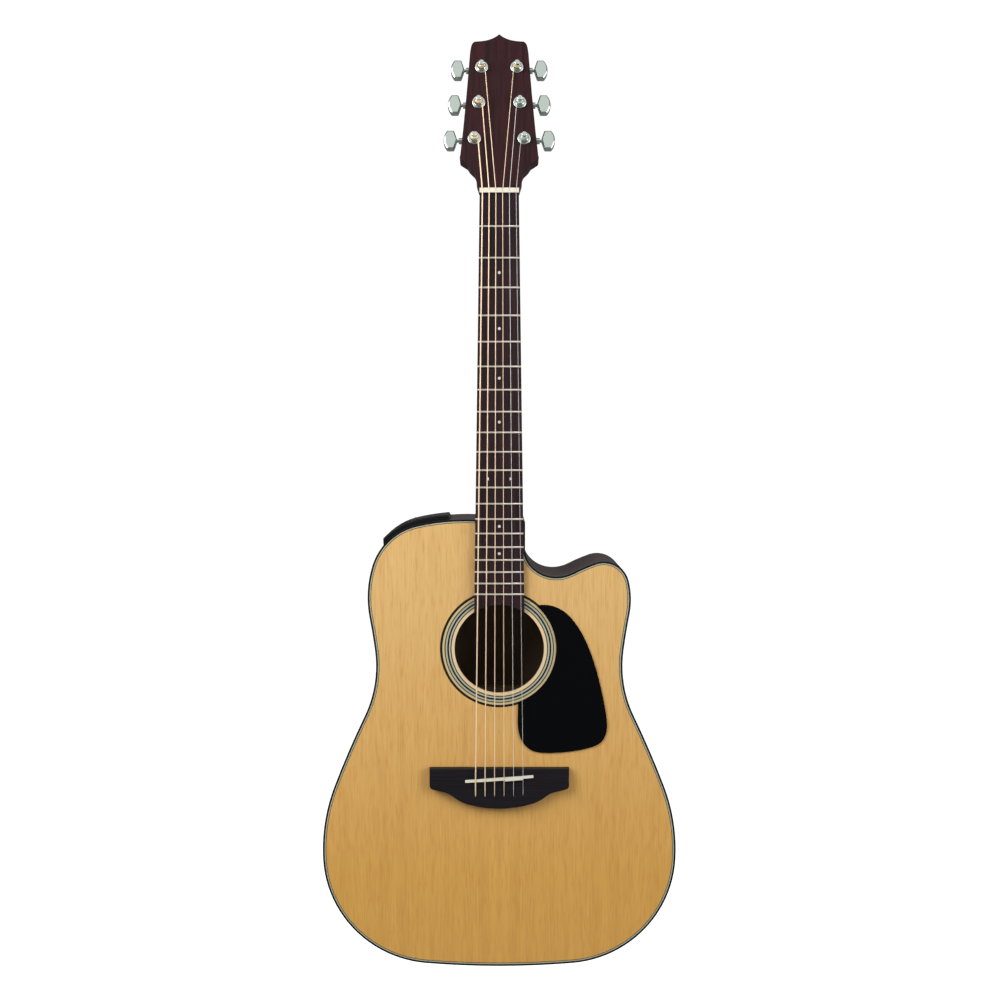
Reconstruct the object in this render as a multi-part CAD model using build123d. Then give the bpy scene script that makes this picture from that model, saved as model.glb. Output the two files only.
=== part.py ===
from build123d import *
import os
from math import atan2, cos, degrees, pi, radians, sin, tan

# Electro-acoustic cutaway guitar.  Millimetres.  +Z runs up the neck, +X to the right as the
# player's audience sees it, and the top faces -Y.  The origin is the mouth of the end-pin jack.

# ---------------------------------------------------------------- driving dimensions: body
TAIL_Z = 12.0              # tail of the body above the mouth of the end-pin jack
TOP_Y = -60.5              # outer face of the top
TOP_THICK = 2.8
BACK_THICK = 2.8
SIDE_THICK = 2.2
BACK_RADIUS = 6000.0       # the back is a shallow dome
BACK_PEAK_Y = 60.57        # its highest point, level with ...
BACK_PEAK_Z = -17.0        # ... this height
BINDING_DEEP = 6.0
PURFLING_DEEP = 1.5
PURFLING_WHITE = 1.1
PURFLING_DARK = 0.7
LINING_WIDE = 5.8
LINING_DEEP = 10.7
FAR = 700.0                # larger than the guitar, for cutting blocks

# outline as a chain of tangent arcs: half width, height above the tail
LOWER_BOUT = [(0, 0), (83.6, 3.5), (200.1, 124.1), (186.6, 208.5), (151.8, 289.0), (139.6, 364.1)]
BASS_SHOULDER = [(145.4, 400.8), (141.9, 459.5), (92.1, 505.4), (26.3, 511.2)]
TREBLE_HORN = [(146.1, 405.2), (144.8, 442.8), (107.0, 462.7), (82.3, 451.9), (64.5, 447.3),
               (34.7, 461.4), (28.9, 476.4)]
BODY_LONG = 511.2
BODY_END_Z = TAIL_Z + BODY_LONG

HOLE_Z = TAIL_Z + 365.9
HOLE_RADIUS = 50.3
ROSETTE_INNER = 53.6
ROSETTE_OUTER = 66.6
ROSETTE_DEEP = 1.0
PICKGUARD_THICK = 1.4
PICKGUARD_REACH = 64.3      # it laps over the rosette's black border
PICKGUARD = [(45.2, 415.2), (57.0, 415.0), (72.0, 408.5), (85.8, 394.1), (101.0, 365.6),
             (113.7, 323.8), (120.8, 287.0), (121.3, 275.0), (115.3, 260.2), (101.5, 253.2),
             (70.1, 248.1), (52.0, 247.4), (34.8, 251.3), (24.7, 262.8), (20.7, 287.0), (21.0, 304.8)]

# ---------------------------------------------------------------- driving dimensions: neck
SCALE = 644.0
NUT_Z = TAIL_Z + 869.3     # front edge of the nut, where the scale starts
NUT_LONG = 5.0
NUT_TALL = 8.3
NUT_WIDE = 43.0
BOARD_TAPER = 0.0285       # the board widens by this much for each mm towards the body
BOARD_THICK = 6.0
BOARD_RADIUS = 400.0
FRET_COUNT = 20
FRET_TALL = 1.1
FRET_WIDE = 1.9
TANG_HALF = 0.3            # half the width of a fret slot
TANG_FLOOR = 2.5           # slot floor behind the crown of the board
DOT_RADIUS = 1.6
NECK_DEEP_NUT = 15.0
NECK_DEEP_HEEL = 17.0
HEEL_LONG = 22.0
HEEL_BEND = 38.0
HEEL_CAP_Y = 33.5
TENON_WIDE = 18.0
TENON_LONG = 13.7
NECK_BLOCK_X = (-30.0, 25.9)
NECK_BLOCK_UP = 440.0      # its foot above the tail
TAIL_BLOCK_HALF = 45.0
TAIL_BLOCK_UP = 22.0

# ---------------------------------------------------------------- driving dimensions: head
HEAD_TILT = 14.0
HEAD_Y = -62.5             # face of the head where it leaves the nut
HEAD_THICK = 14.5
VENEER_THICK = 1.5
HEAD_HALF = [(22.4, 0), (23.4, 4.0), (25.1, 13.0), (28.9, 21.5), (34.8, 29.2), (42.1, 34.2),
             (43.0, 38.8), (39.9, 69.6), (36.2, 113.6), (32.8, 160.0), (31.2, 170.6),
             (27.1, 175.6), (17.1, 176.6), (8.2, 179.2), (0, 184.6)]
POST_UP = [59.0, 102.0, 144.5]         # along the head, from its foot
POST_OUT = [27.4, 22.8, 19.7]          # from the centreline
POST_RADIUS = 3.0
POST_TOP = 11.5
WASHER_RADIUS = 7.25
WASHER_THICK = 1.2
BUSHING_RADIUS = 5.0
BUSHING_TOP = 3.8
GEAR_DROP = 6.5            # gear plane behind the back of the head
GEAR_OFFSET = 8.4          # worm axis beyond the post axis
GEAR_TEETH = 14
WHEEL_RADIUS = 5.6
WORM_RADIUS = 2.6
SHAFT_RADIUS = 1.7
RUNNING_GAP = 0.05
BUTTON_START = 19.5        # inner end of the button from the post axis
BUTTON_LONG = 15.5
BUTTON_TALL = 22.5
BUTTON_THICK = 8.5
BUTTON_FLAT = (3.6, 11.2)  # its flat ends run between these distances from its inner point

# ---------------------------------------------------------------- driving dimensions: strings
STRING_DIAMETER = [0.30, 0.41, 0.61, 0.81, 1.07, 1.35]       # first to sixth
NUT_SPREAD = 36.6
SADDLE_SPREAD = 53.4
SADDLE_TREBLE = 647.5      # string length to the saddle
SADDLE_BASS = 651.5
SADDLE_TOP = 11.4          # above the top
SADDLE_WIDE = 3.0
SLOT_FLOOR = 3.2           # floor of the saddle slot above the top
NUT_CLEAR = 0.45           # strings above the first fret's plane
BRIDGE_THICK = 8.5
BRIDGE_TAIL = [(0, 185.3), (36.2, 190.5), (52.3, 199.0), (64.4, 204.6), (75.5, 207.4)]
BRIDGE_CORNER = (78.5, 211.0)
BRIDGE_FRONT = 231.3
ANCHOR_UP = 201.8          # string exits on the bridge, above the tail
BALL_UP = 190.3
WRAP_GAP = 0.15
REST_GAP = 0.08            # keeps a bent string off the crown it rests on
LEAD_X = -28.0             # where the pickup's lead goes down through the top

# ---------------------------------------------------------------- driving dimensions: preamp
PANEL_PROUD = 5.5
POCKET_FLOOR = 2.5         # the sliders stand in a pocket this far off the rim
POCKET_ACROSS = 26.0
PANEL_FRONT_Y = -50.0
PANEL_BACK_Y = -2.0
PANEL_MID_Y = (PANEL_FRONT_Y + PANEL_BACK_Y) / 2
CASE_HALF = 23.0           # preamp case, half its length along the rim
CASE_ACROSS = 42.0
CASE_DEEP = 30.0
BOX_HALF = 11.0            # battery box, half its length along the rim
BOX_ACROSS = 30.0
BOX_DEEP = 54.0
CASE_WALL = 1.5
DOOR_GAP = 0.5
SLIDER_TRAVEL = 8.0
SLIDER_PLACES = [0.46, 0.585, 0.71, 0.835]
CHECK_PLACE = 0.96
BATTERY = (17.5, 26.5, 48.5)
JACK_BORE = 3.2
JACK_BARREL = 5.5


# ---------------------------------------------------------------- shared helpers
def front(y, height=TAIL_Z):
    """Plane facing the audience; its x is +X and its y is +Z."""
    return Plane(origin=(0, y, height), x_dir=(1, 0, 0), z_dir=(0, -1, 0))


def slab(sketch, y_front, y_back):
    """A sketch drawn above the tail, as a plate between two depths."""
    return extrude(front(y_back) * sketch, y_back - y_front)


def block(x0, x1, y0, y1, z0, z1):
    centre = ((x0 + x1) / 2, (y0 + y1) / 2, (z0 + z1) / 2)
    return Pos(*centre) * Box(x1 - x0, y1 - y0, z1 - z0)


def tangent_chain(points, heading):
    """Arcs through the points, each tangent to the one before."""
    arcs = []
    for here, there in zip(points, points[1:]):
        arc = TangentArc(here, there, tangent=heading)
        heading = arc % 1
        arcs.append(arc)
    return arcs


def mirrored(points):
    return [(-x, y) for x, y in points]


def bead(points, radius):
    """A round bar along a bent line with small bends."""
    path = FilletPolyline(*points, radius=4.0) if len(points) > 2 else Line(*points)
    start = Plane(origin=path @ 0, z_dir=path % 0)
    return sweep(start * Circle(radius), path=path)


# ---------------------------------------------------------------- body outline
bass_arcs = tangent_chain(mirrored(LOWER_BOUT + BASS_SHOULDER), (-1, 0))
treble_arcs = tangent_chain(LOWER_BOUT + TREBLE_HORN, (1, 0))
corner_x = TREBLE_HORN[-1][0]
neck_edges = [Line(TREBLE_HORN[-1], (corner_x, BODY_LONG - 3)),
              Line((corner_x, BODY_LONG - 3), (corner_x - 3, BODY_LONG)),
              Line((corner_x - 3, BODY_LONG), (-26.3, BODY_LONG))]
outline = make_face(treble_arcs + neck_edges + bass_arcs)


def inset(distance):
    """The outline moved inwards."""
    return offset(outline, -distance, kind=Kind.INTERSECTION) if distance else outline


INSET_SIDE = inset(SIDE_THICK)
INSET_WHITE = inset(SIDE_THICK + PURFLING_WHITE)
INSET_DARK = inset(SIDE_THICK + PURFLING_WHITE + PURFLING_DARK)
INSET_LINING = inset(SIDE_THICK + LINING_WIDE)
INSET_BRACES = inset(SIDE_THICK + LINING_WIDE + 1.0)
TOP_INNER_Y = TOP_Y + TOP_THICK


def dome(depth):
    """Everything in front of the back's surface, moved inwards by depth."""
    centre = (0, BACK_PEAK_Y - BACK_RADIUS, BACK_PEAK_Z)
    return Pos(*centre) * Sphere(BACK_RADIUS - depth)


def between(sketch, y_front, depth):
    """From a flat front down to the domed back."""
    return slab(sketch, y_front, 75) & dome(depth)


# ---------------------------------------------------------------- neck and board
def board_width(z):
    return NUT_WIDE + BOARD_TAPER * (NUT_Z - z)


def crown(height):
    """The round playing surface, height above the top."""
    return Pos(0, TOP_Y - height + BOARD_RADIUS, 500) * Cylinder(BOARD_RADIUS, 1400)


def board_plan():
    end_z = HOLE_Z + 20
    half_end = board_width(end_z) / 2
    half_nut = NUT_WIDE / 2
    corners = [(-half_end, end_z), (half_end, end_z), (half_nut, NUT_Z), (-half_nut, NUT_Z)]
    plan = make_face(Polyline(*corners, close=True))
    return plan - Pos(0, HOLE_Z) * Circle(HOLE_RADIUS)


def fret_place(number):
    return NUT_Z - SCALE * (1 - 2 ** (-number / 12))


def make_fingerboard():
    board = extrude(front(TOP_Y, 0) * board_plan(), BOARD_THICK + 1) & crown(BOARD_THICK)
    for number in range(1, FRET_COUNT + 1):
        z = fret_place(number)
        floor = TOP_Y - BOARD_THICK + TANG_FLOOR
        board -= block(-40, 40, TOP_Y - 10, floor, z - TANG_HALF, z + TANG_HALF)
    return board - make_dots()


def make_frets():
    """Twenty round-topped fret wires with their tangs."""
    frets = []
    for number in range(1, FRET_COUNT + 1):
        z = fret_place(number)
        half = board_width(z) / 2
        bar = block(-half, half, TOP_Y - 10, TOP_Y, z - FRET_WIDE / 2, z + FRET_WIDE / 2)
        bead_part = (bar & crown(BOARD_THICK + FRET_TALL)) - crown(BOARD_THICK)
        long_edges = [e for e in bead_part.edges() if e.length > half and e.center().Y < TOP_Y - 6.3]
        bead_part = fillet(long_edges, 0.7)
        floor = TOP_Y - BOARD_THICK + TANG_FLOOR
        tang = block(-half + 1, half - 1, TOP_Y - 10, floor, z - TANG_HALF, z + TANG_HALF)
        frets.append(bead_part + (tang & crown(BOARD_THICK)))
    return Compound(children=frets)


def make_dots():
    """Pearl position dots, let into the board between frets."""
    dots = []
    for number in (3, 5, 7, 9, 12, 15, 17):
        z = (fret_place(number) + fret_place(number - 1)) / 2
        for x in (-11.6, 11.6) if number == 12 else (0,):
            level = TOP_Y - BOARD_THICK + x * x / (2 * BOARD_RADIUS)
            dots.append(Pos(x, level + 0.75, z) * Rot(90, 0, 0) * Cylinder(DOT_RADIUS, 1.5))
    return Compound(children=dots)


def neck_section(plane, width, depth, length):
    """Across the neck: a round back, straight cheeks, and a flat front."""
    half = width / 2
    edges = [
        Bezier((0, 0), (half * 0.62, 0), (half, depth * 0.42), (half, depth)),
        Line((half, depth), (half, length)),
        Line((half, length), (-half, length)),
        Line((-half, length), (-half, depth)),
        Bezier((-half, depth), (-half, depth * 0.42), (-half * 0.62, 0), (0, 0)),
    ]
    return plane * make_face(edges)


def shaft_section(z, depth):
    plane = Plane(origin=(0, TOP_Y + depth, z), x_dir=(1, 0, 0), z_dir=(0, 0, -1))
    return neck_section(plane, board_width(z), depth, depth + 8)


def heel_section(turn, width, depth):
    """A section of the bend, turned about the hollow of the heel."""
    pivot_y = TOP_Y + NECK_DEEP_HEEL + HEEL_BEND
    pivot_z = BODY_END_Z + HEEL_LONG + HEEL_BEND
    c, s = cos(radians(turn)), sin(radians(turn))
    origin = (0, pivot_y - HEEL_BEND * c, pivot_z - HEEL_BEND * s)
    reach = min((pivot_y - TOP_Y) / max(c, 0.01), (pivot_z - BODY_END_Z) / max(s, 0.01))
    plane = Plane(origin=origin, x_dir=(1, 0, 0), z_dir=(0, s, -c))
    return neck_section(plane, width, depth, reach - HEEL_BEND + 8)


def cap_section(y, width):
    origin = (0, y, BODY_END_Z + HEEL_LONG)
    plane = Plane(origin=origin, x_dir=(1, 0, 0), z_dir=(0, 1, 0))
    return neck_section(plane, width, HEEL_LONG - 2, HEEL_LONG + 8)


HEAD_FRAME = Plane(origin=(0, HEAD_Y, NUT_Z + NUT_LONG), x_dir=(1, 0, 0),
                   z_dir=(0, -cos(radians(HEAD_TILT)), sin(radians(HEAD_TILT))))


def head_plan():
    """Head outline: waisted foot, straight flanks, a crest with hollow flanks."""
    foot = tangent_chain(HEAD_HALF[0:5], (0.1, 1))
    flank = [Line(HEAD_HALF[4], HEAD_HALF[5])]
    corner = tangent_chain(HEAD_HALF[5:7], (0.8, 0.6))
    side = [Line(a, b) for a, b in zip(HEAD_HALF[6:9], HEAD_HALF[7:10])]
    shoulder = tangent_chain(HEAD_HALF[9:12], (-0.07, 1))
    crest = tangent_chain(HEAD_HALF[11:15], (-1, 0.05))
    half = foot + flank + corner + side + shoulder + crest
    right = make_face(half + [Line(HEAD_HALF[-1], (0, 0)), Line((0, 0), HEAD_HALF[0])])
    return right + mirror(right, about=Plane.YZ)


def on_head(shape, x, up, out):
    """Place a shape drawn in the head's own axes."""
    return HEAD_FRAME * (Pos(x, up, out) * shape)


def tuners():
    """Number, side and place of each tuner: 1 to 3 treble from the nut, 4 to 6 bass."""
    for row in range(3):
        yield row + 1, 1, POST_OUT[row], POST_UP[row]
    for row in range(3):
        yield 6 - row, -1, POST_OUT[row], POST_UP[row]


def head_bores(top, bottom, radius):
    bores = []
    for number, side, out, up in tuners():
        bores.append(on_head(Cylinder(radius, top - bottom), side * out, up, (top + bottom) / 2))
    return bores


def make_neck():
    heel_start = BODY_END_Z + HEEL_LONG + HEEL_BEND
    shaft = loft([shaft_section(NUT_Z + 14, NECK_DEEP_NUT), shaft_section(heel_start, NECK_DEEP_HEEL)])
    start_width = board_width(heel_start)
    turns = [0, 18, 36, 54, 72, 90]
    sections = []
    for turn in turns:
        share = turn / 90
        depth = NECK_DEEP_HEEL + (HEEL_LONG - 2 - NECK_DEEP_HEEL) * share + 9 * sin(pi * share)
        sections.append(heel_section(turn, start_width - 8 * share * share, depth))
    bend = loft(sections)
    bend_end_y = TOP_Y + NECK_DEEP_HEEL + HEEL_BEND
    heel = loft([cap_section(bend_end_y, start_width - 8), cap_section(HEEL_CAP_Y, 30)])
    wood = shaft + bend + heel
    wood &= block(-60, 60, TOP_Y, 100, BODY_END_Z, NUT_Z + 14)
    ahead = HEAD_FRAME * (Pos(0, 0, 50 - VENEER_THICK) * Box(200, 400, 100))
    lip = block(-60, 60, TOP_Y - 8, TOP_Y + 40, NUT_Z + NUT_LONG, NUT_Z + 60)
    wood -= ahead & lip
    wood += HEAD_FRAME * (Pos(0, 0, -VENEER_THICK - HEAD_THICK) * extrude(head_plan(), HEAD_THICK))
    wood -= nut_seat()
    wood += block(-TENON_WIDE / 2, TENON_WIDE / 2, TOP_Y + BINDING_DEEP, 25,
                  BODY_END_Z - TENON_LONG, BODY_END_Z)
    wood -= rod_channel()
    for bore in head_bores(1, -HEAD_THICK - VENEER_THICK - 1, BUSHING_RADIUS):
        wood -= bore
    for place in screw_places():
        wood -= on_head(Cylinder(1.2, 9), *place, -HEAD_THICK - VENEER_THICK + 4)
    strap_hole = strap_place() * (Pos(0, 0, -8) * Cylinder(1.6, 20))
    return wood - strap_hole


def rod_channel():
    return block(-3.2, 3.2, TOP_Y, TOP_Y + 9.5, BODY_END_Z, NUT_Z - 8)


def make_truss_rod():
    """Two-way rod: a square bar, a round bar beside it, and a hex adjuster."""
    bar = block(-3.1, 3.1, TOP_Y + 0.1, TOP_Y + 3.4, BODY_END_Z + 20, NUT_Z - 9)
    rod_y = TOP_Y + 6.4
    rod_long = NUT_Z - 9 - (BODY_END_Z + 2)
    rod = Pos(0, rod_y, BODY_END_Z + 2 + rod_long / 2) * Cylinder(2.9, rod_long)
    ends = block(-3.1, 3.1, TOP_Y + 0.1, TOP_Y + 9.3, NUT_Z - 20, NUT_Z - 9)
    ends += block(-3.1, 3.1, TOP_Y + 0.1, TOP_Y + 9.3, BODY_END_Z + 20, BODY_END_Z + 30)
    socket = Pos(0, rod_y, BODY_END_Z + 4) * extrude(RegularPolygon(2.0, 6), 8, both=True)
    return bar + rod + ends - socket


def nut_seat():
    """Room for the nut, cut square in the foot of the head."""
    return block(-60, 60, TOP_Y - 20, TOP_Y, NUT_Z - 10, NUT_Z + NUT_LONG)


def make_veneer():
    plate = HEAD_FRAME * (Pos(0, 0, -VENEER_THICK) * extrude(head_plan(), VENEER_THICK))
    plate -= nut_seat()
    for bore in head_bores(1, -VENEER_THICK - 1, BUSHING_RADIUS):
        plate -= bore
    return plate


# ---------------------------------------------------------------- strings
def string_across(number, spread):
    return spread / 2 - spread * (number - 1) / 5


def string_points(number, side, out, up):
    """Ball end, bridge exit, saddle, nut and the tangent to the post."""
    radius = STRING_DIAMETER[number - 1] / 2
    x_saddle = string_across(number, SADDLE_SPREAD)
    x_nut = string_across(number, NUT_SPREAD)
    share = (number - 1) / 5
    saddle_z = NUT_Z - (SADDLE_TREBLE + (SADDLE_BASS - SADDLE_TREBLE) * share)
    saddle_z -= 2.7 if number in (2, 3) else 1.5
    saddle_level = SADDLE_TOP - x_saddle ** 2 / (2 * BOARD_RADIUS) + radius + REST_GAP
    nut_level = nut_slot_level(x_nut) + radius
    wrap_radius = POST_RADIUS + WRAP_GAP + radius
    tangent = HEAD_FRAME.from_local_coords(Vector(side * (out - wrap_radius), up, wrap_level(number, 0)))
    return [
        Vector(x_saddle, TOP_Y - 3.2, TAIL_Z + BALL_UP),
        Vector(x_saddle, TOP_Y - BRIDGE_THICK, TAIL_Z + ANCHOR_UP),
        Vector(x_saddle, TOP_Y - saddle_level, saddle_z),
        Vector(x_nut, TOP_Y - nut_level, NUT_Z + 1.0),
        tangent,
    ]


def nut_slot_level(x):
    return BOARD_THICK + FRET_TALL + NUT_CLEAR - x * x / (2 * BOARD_RADIUS)


def wrap_level(number, turn):
    diameter = STRING_DIAMETER[number - 1]
    return BUSHING_TOP + 0.5 + diameter / 2 + turn * diameter * 1.04


def wrap_count(number):
    return 5 if number < 3 else 3


def make_string(number, side, out, up):
    """String with its ball end and its turns round the post, clear of the turning post."""
    points = string_points(number, side, out, up)
    radius = STRING_DIAMETER[number - 1] / 2
    length = bead(points, radius)
    ball = Pos(points[0].X, points[0].Y, points[0].Z - 1.6) * Rot(0, 90, 0) * Cylinder(1.9, 3.0)
    solids = [length + ball]
    for turn in range(wrap_count(number)):
        ring = Torus(POST_RADIUS + WRAP_GAP + radius, radius)
        solids.append(on_head(ring, side * out, up, wrap_level(number, turn + 1)))
    return Compound(children=solids)


def make_nut():
    nut = block(-NUT_WIDE / 2, NUT_WIDE / 2, TOP_Y - NUT_TALL - 1, TOP_Y, NUT_Z, NUT_Z + NUT_LONG)
    nut &= crown(NUT_TALL)
    for number, side, out, up in tuners():
        radius = STRING_DIAMETER[number - 1] / 2 + 0.07
        points = string_points(number, side, out, up)
        arrival = points[3] + (points[2] - points[3]) * 0.02
        departure = points[3] + (points[4] - points[3]) * 0.2
        nut -= bead([arrival, points[3], departure], radius)
        x = points[3].X
        y = points[3].Y
        nut -= block(x - radius, x + radius, y - 5, y, NUT_Z - 1, NUT_Z + 1.6)
        slope = Pos(x, y - 2.5 + 0.5, NUT_Z + 3.6) * Rot(-HEAD_TILT, 0, 0) * Box(2 * radius, 5, 7)
        nut -= slope
    return nut


# ---------------------------------------------------------------- bridge
def bridge_plan():
    right = tangent_chain(BRIDGE_TAIL, (1, 0))
    corner = tangent_chain([BRIDGE_TAIL[-1], BRIDGE_CORNER], right[-1] % 1)
    front_end = (BRIDGE_CORNER[0], BRIDGE_FRONT)
    middle = (0, BRIDGE_FRONT)
    side = [Line(BRIDGE_CORNER, front_end), Line(front_end, middle), Line(middle, BRIDGE_TAIL[0])]
    half = make_face(right + corner + side)
    return half + mirror(half, about=Plane.YZ)


def saddle_frame():
    """Middle of the saddle, turned to its slant."""
    treble = NUT_Z - SADDLE_TREBLE
    bass = NUT_Z - SADDLE_BASS
    slant = degrees(atan2(treble - bass, SADDLE_SPREAD))
    return Pos(0, 0, (treble + bass) / 2) * Rot(0, -slant, 0)


def saddle_block(x0, x1, half_wide, level_low, level_high, shift=0.0):
    box = block(x0, x1, TOP_Y - level_high, TOP_Y - level_low, shift - half_wide, shift + half_wide)
    return saddle_frame() * box


def make_bridge():
    plate = extrude(front(TOP_Y) * bridge_plan(), BRIDGE_THICK)
    top_face = plate.faces().sort_by(Axis.Y)[0]
    plate = fillet(top_face.edges(), 1.2)
    plate -= saddle_block(-38.5, 38.5, SADDLE_WIDE / 2, SLOT_FLOOR, 20)
    plate -= saddle_block(6.0, 26.6, SADDLE_WIDE / 2, SLOT_FLOOR, 20, -2.6)
    for number, side, out, up in tuners():
        points = string_points(number, side, out, up)
        rise = points[1] - points[0]
        bore = bead([points[0] - rise * 0.9, points[1] + rise * 0.6], 1.1)
        groove = bead(points[0:3], STRING_DIAMETER[number - 1] / 2 + 0.1)
        pocket = Pos(points[0].X, points[0].Y, points[0].Z - 5) * Rot(0, 90, 0) * Cylinder(2.1, 3.4)
        mouth = block(points[0].X - 1.7, points[0].X + 1.7, points[0].Y - 2.1, points[0].Y + 2.1,
                      points[0].Z - 12, points[0].Z - 1.4)
        seat = Pos(points[0].X, points[0].Y, points[0].Z - 1.6) * Rot(0, 90, 0) * Cylinder(2.1, 3.4)
        plate = plate - bore - groove - pocket - mouth - seat
    return plate - lead_hole()


def lead_hole():
    return Pos(LEAD_X, TOP_Y, saddle_z_at(LEAD_X)) * Rot(90, 0, 0) * Cylinder(1.5, 18)


def saddle_z_at(x):
    mid = NUT_Z - (SADDLE_TREBLE + SADDLE_BASS) / 2
    return mid + x * (SADDLE_BASS - SADDLE_TREBLE) / SADDLE_SPREAD


def make_saddles():
    """Two bone saddles: the long one, and a short one set back for the second and third strings."""
    half = SADDLE_WIDE / 2
    long_part = saddle_block(-38.4, 5.8, half - 0.02, 4.9, SADDLE_TOP + 1)
    long_part += saddle_block(5.8, 38.4, half - 0.02, 4.9, BRIDGE_THICK - 0.6)
    long_part += saddle_block(26.9, 38.4, half - 0.02, 4.9, SADDLE_TOP + 1)
    short_part = saddle_block(6.1, 26.5, half - 0.02, BRIDGE_THICK - 0.5, SADDLE_TOP + 1, -1.2)
    long_part &= crown(SADDLE_TOP)
    short_part &= crown(SADDLE_TOP)
    return Compound(children=[long_part, short_part])


# ---------------------------------------------------------------- plates and rim
def make_top_plate():
    plate = slab(INSET_SIDE, TOP_Y, TOP_INNER_Y)
    plate -= slab(INSET_SIDE - INSET_DARK, TOP_Y, TOP_Y + PURFLING_DEEP)
    hole = Pos(0, HOLE_Z - TAIL_Z)
    plate -= slab(hole * Circle(HOLE_RADIUS), TOP_Y - 1, TOP_INNER_Y + 1)
    plate -= slab(hole * (Circle(ROSETTE_OUTER) - Circle(ROSETTE_INNER)), TOP_Y - 1, TOP_Y + ROSETTE_DEEP)
    return plate - lead_hole()


def make_back_plate():
    return between(INSET_SIDE, 0, 0) - dome(BACK_THICK)


def make_side(sign):
    wall = between(outline - INSET_SIDE, TOP_Y + BINDING_DEEP, BINDING_DEEP)
    half = block(0, FAR, -FAR, FAR, -FAR, FAR)
    if sign < 0:
        half = block(-FAR, 0, -FAR, FAR, -FAR, FAR)
    wall &= half
    wall -= block(-TENON_WIDE / 2, TENON_WIDE / 2, TOP_Y, 25, BODY_END_Z - 20, BODY_END_Z + 1)
    wall -= Pos(0, 0, TAIL_Z) * Cylinder(JACK_BARREL, 20)
    if sign < 0:
        wall = wall - preamp_window() - battery_window()
    return wall


def make_top_binding():
    return slab(outline - INSET_SIDE, TOP_Y, TOP_Y + BINDING_DEEP)


def make_back_binding():
    return between(outline - INSET_SIDE, 0, 0) - dome(BINDING_DEEP)


def make_top_purfling():
    white = slab(INSET_SIDE - INSET_WHITE, TOP_Y, TOP_Y + PURFLING_DEEP)
    dark = slab(INSET_WHITE - INSET_DARK, TOP_Y, TOP_Y + PURFLING_DEEP)
    return Compound(children=[white, dark])


def make_rosette():
    ring = Pos(0, HOLE_Z - TAIL_Z) * (Circle(ROSETTE_OUTER) - Circle(ROSETTE_INNER))
    return slab(ring, TOP_Y, TOP_Y + ROSETTE_DEEP)


def make_pickguard():
    """Free curve round the outside, closed by an arc that follows the rosette."""
    centre_up = HOLE_Z - TAIL_Z
    lead_in = ring_point(centre_up, PICKGUARD[0])
    lead_out = ring_point(centre_up, PICKGUARD[-1])
    turn = radians(-12.3)
    waist = (PICKGUARD_REACH * cos(turn), centre_up + PICKGUARD_REACH * sin(turn))
    rim = [Line(lead_in, PICKGUARD[0]), Spline(*PICKGUARD), Line(PICKGUARD[-1], lead_out)]
    return extrude(front(TOP_Y) * make_face(rim + [ThreePointArc(lead_out, waist, lead_in)]), PICKGUARD_THICK)


def ring_point(centre_up, point):
    """Where the line from the hole's centre to a point crosses the pickguard's inner arc."""
    turn = atan2(point[1] - centre_up, point[0])
    return (PICKGUARD_REACH * cos(turn), centre_up + PICKGUARD_REACH * sin(turn))


def neck_block_zone():
    return block(*NECK_BLOCK_X, -FAR, FAR, TAIL_Z + NECK_BLOCK_UP, FAR)


def tail_block_zone():
    return block(-TAIL_BLOCK_HALF, TAIL_BLOCK_HALF, -FAR, FAR, 0, TAIL_Z + TAIL_BLOCK_UP)


def make_end_blocks():
    neck_block = between(INSET_SIDE, TOP_INNER_Y, BACK_THICK)
    neck_block &= neck_block_zone()
    neck_block -= block(-TENON_WIDE / 2, TENON_WIDE / 2, TOP_Y, 25, BODY_END_Z - TENON_LONG, FAR)
    tail_block = between(INSET_SIDE, TOP_INNER_Y, BACK_THICK)
    tail_block &= tail_block_zone()
    tail_block -= Pos(0, 0, TAIL_Z) * Cylinder(JACK_BARREL, 60)
    return Compound(children=[neck_block, tail_block])


def make_linings():
    """Kerfed strips that glue the plates to the sides."""
    ring = INSET_SIDE - INSET_LINING
    top_lining = slab(ring, TOP_INNER_Y, TOP_Y + TOP_THICK + LINING_DEEP)
    back_lining = between(ring, 0, BACK_THICK) - dome(BACK_THICK + LINING_DEEP)
    blocks = neck_block_zone() + tail_block_zone()
    return Compound(children=[top_lining - blocks, back_lining - blocks])


def bar_on_top(x, up, length, wide, tall, turn):
    centre = front(TOP_INNER_Y) * (Pos(x, up, -tall / 2) * Rot(0, 0, turn))
    return centre * Box(length, wide, tall)


def make_braces():
    """X-brace, tone bars, transverse bar and bridge plate on the top; ladder bars on the back."""
    inside = slab(INSET_BRACES, -FAR, FAR)
    cross_up = 284
    cross = bar_on_top(10, cross_up - 10, 340, 8, 13, 47) + bar_on_top(-10, cross_up - 10, 340, 8, 13, -47)
    tone_bars = bar_on_top(35, 150, 150, 7, 10, -28)
    lower_bar = bar_on_top(22, 95, 150, 7, 10, -28)
    transverse = bar_on_top(0, 431, 270, 14, 15, 0)
    plate = bar_on_top(0, 214, 150, 38, 2.5, 0) - cross
    wood = [cross & inside, (tone_bars & inside) - cross, (lower_bar & inside) - cross, transverse & inside]
    wood.append(plate - lead_hole())
    for up in (72, 172, 298, 412):
        bar = slab(Pos(0, up) * Rectangle(420, 9), 0, 75) & dome(BACK_THICK)
        wood.append((bar - dome(BACK_THICK + 12)) & inside)
    return Compound(children=wood)


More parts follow.
